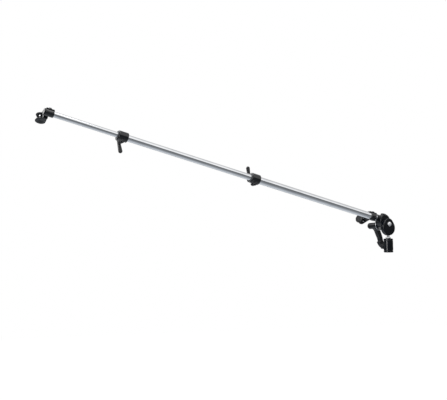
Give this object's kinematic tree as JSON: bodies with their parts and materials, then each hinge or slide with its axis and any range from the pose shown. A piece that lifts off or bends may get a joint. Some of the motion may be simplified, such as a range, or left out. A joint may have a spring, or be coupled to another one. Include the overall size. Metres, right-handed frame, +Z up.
{
  "type": "telescopic reflector holder arm",
  "caption": "Telescopic three-tube arm on a tilting, locking head with a spigot socket, lock collars with wing screws and a swivelling spring clip near each end.",
  "frame": {"origin": "centre of the mouth of the head's spigot socket", "axes": "+Z up out of the spigot along the socket, the arm runs towards -X and rises, the tilt bolt lies along Y with its lock lever on the +Y side"},
  "size_m": [1.0542, 0.0913, 0.3072],
  "materials": {
    "cast_black": "black powder coat on cast aluminium",
    "moulded_black": "black glass-filled nylon, satin",
    "chromed_tube": "bright chrome plate on steel tube",
    "bright_steel": "zinc-plated steel",
    "brass": "turned brass",
    "rubber": "matte black rubber",
    "nylon": "dark grey nylon"
  },
  "bodies": {
    "socket": {"socket_barrel": "cast_black", "neck_stud": "cast_black", "jam_nut": "bright_steel", "lower_knuckle": "cast_black", "pivot_bolt": "bright_steel", "cap_nut": "bright_steel", "friction_disc": "nylon", "pressure_washer": "chromed_tube"},
    "socket_screw": {"socket_lock_screw": "moulded_black"},
    "tilt_head": {"upper_knuckle": "cast_black"},
    "lever": {"lock_lever": "moulded_black", "lever_insert": "brass"},
    "roll_lock": {"roll_knob": "moulded_black"},
    "outer": {"roll_spindle": "bright_steel", "spindle_nut": "bright_steel", "thrust_washer": "nylon", "outer_tube": "chromed_tube", "lock_collar_2": "moulded_black", "collar_bush_2": "nylon", "pinch_bolt_2": "bright_steel", "pressure_shoe_2": "brass", "right_clip_collar": "moulded_black", "right_clip_screw": "bright_steel", "right_clip_post": "bright_steel", "right_post_nut": "bright_steel"},
    "rear_wing": {"wing_2": "moulded_black", "wing_screw_2": "bright_steel"},
    "middle": {"middle_tube": "chromed_tube", "middle_tube_plug": "nylon", "lock_collar_1": "moulded_black", "collar_bush_1": "nylon", "pinch_bolt_1": "bright_steel", "pressure_shoe_1": "brass"},
    "front_wing": {"wing_1": "moulded_black", "wing_screw_1": "bright_steel"},
    "inner": {"inner_tube": "chromed_tube", "inner_tube_plug": "nylon", "end_cap": "moulded_black", "left_clip_collar": "moulded_black", "left_clip_screw": "bright_steel", "left_clip_post": "bright_steel", "left_post_nut": "bright_steel"},
    "right_clip": {"right_fixed_jaw": "moulded_black", "right_fixed_pad": "rubber", "right_hinge_pin": "bright_steel"},
    "right_jaw": {"right_moving_jaw": "moulded_black", "right_moving_pad": "rubber", "right_spring": "bright_steel"},
    "left_clip": {"left_fixed_jaw": "moulded_black", "left_fixed_pad": "rubber", "left_hinge_pin": "bright_steel"},
    "left_jaw": {"left_moving_jaw": "moulded_black", "left_moving_pad": "rubber", "left_spring": "bright_steel"}
  },
  "joints": [
    {"name": "socket_screw_turn", "type": "hinge", "parent": "socket", "child": "socket_screw", "pos_m": [0, 0, 0.018], "axis": [0, 1, 0], "range_deg": [-180, 180]},
    {"name": "head_tilt", "type": "hinge", "parent": "socket", "child": "tilt_head", "pos_m": [0, 0, 0.08], "axis": [0, -1, 0], "range_deg": [-75, 60]},
    {"name": "lever_turn", "type": "hinge", "parent": "socket", "child": "lever", "pos_m": [0, 0, 0.08], "axis": [0, -1, 0], "range_deg": [-15, 90]},
    {"name": "roll_lock_turn", "type": "hinge", "parent": "tilt_head", "child": "roll_lock", "pos_m": [0, 0.0216, 0.094], "axis": [0.1994, 0, 0.9799], "range_deg": [-180, 180]},
    {"name": "arm_roll", "type": "hinge", "parent": "tilt_head", "child": "outer", "pos_m": [0, 0.0216, 0.094], "axis": [-0.9799, 0, 0.1994], "continuous": true},
    {"name": "rear_wing_turn", "type": "hinge", "parent": "outer", "child": "rear_wing", "pos_m": [-0.43548, 0.0216, 0.1826], "axis": [0, 1, 0], "range_deg": [-20, 100]},
    {"name": "middle_slide", "type": "slide", "parent": "outer", "child": "middle", "axis": [-0.9799, 0, 0.1994], "range_m": [-0.33, 0.015]},
    {"name": "front_wing_turn", "type": "hinge", "parent": "middle", "child": "front_wing", "pos_m": [-0.80491, 0.0216, 0.25776], "axis": [0, 1, 0], "range_deg": [-20, 100]},
    {"name": "inner_slide", "type": "slide", "parent": "middle", "child": "inner", "axis": [-0.9799, 0, 0.1994], "range_m": [-0.13, 0.2]},
    {"name": "right_clip_swivel", "type": "hinge", "parent": "outer", "child": "right_clip", "pos_m": [-0.03782, 0.0216, 0.1017], "axis": [-0.3468, 0.9252, -0.1544], "continuous": true},
    {"name": "right_jaw_open", "type": "hinge", "parent": "right_clip", "child": "right_jaw", "pos_m": [-0.0483, 0.04954, 0.09703], "axis": [0.1939, 0.2317, 0.9532], "range_deg": [0, 16], "stiffness_Nm_per_rad": 0.15, "springref_deg": -20.05},
    {"name": "left_clip_swivel", "type": "hinge", "parent": "inner", "child": "left_clip", "pos_m": [-0.98228, 0.0216, 0.29385], "axis": [-0.2655, 0.9478, -0.1764], "continuous": true},
    {"name": "left_jaw_open", "type": "hinge", "parent": "left_clip", "child": "left_jaw", "pos_m": [-0.9895, 0.04738, 0.28905], "axis": [0.9444, 0.2188, -0.2453], "range_deg": [0, 16], "stiffness_Nm_per_rad": 0.15, "springref_deg": -20.05}
  ]
}
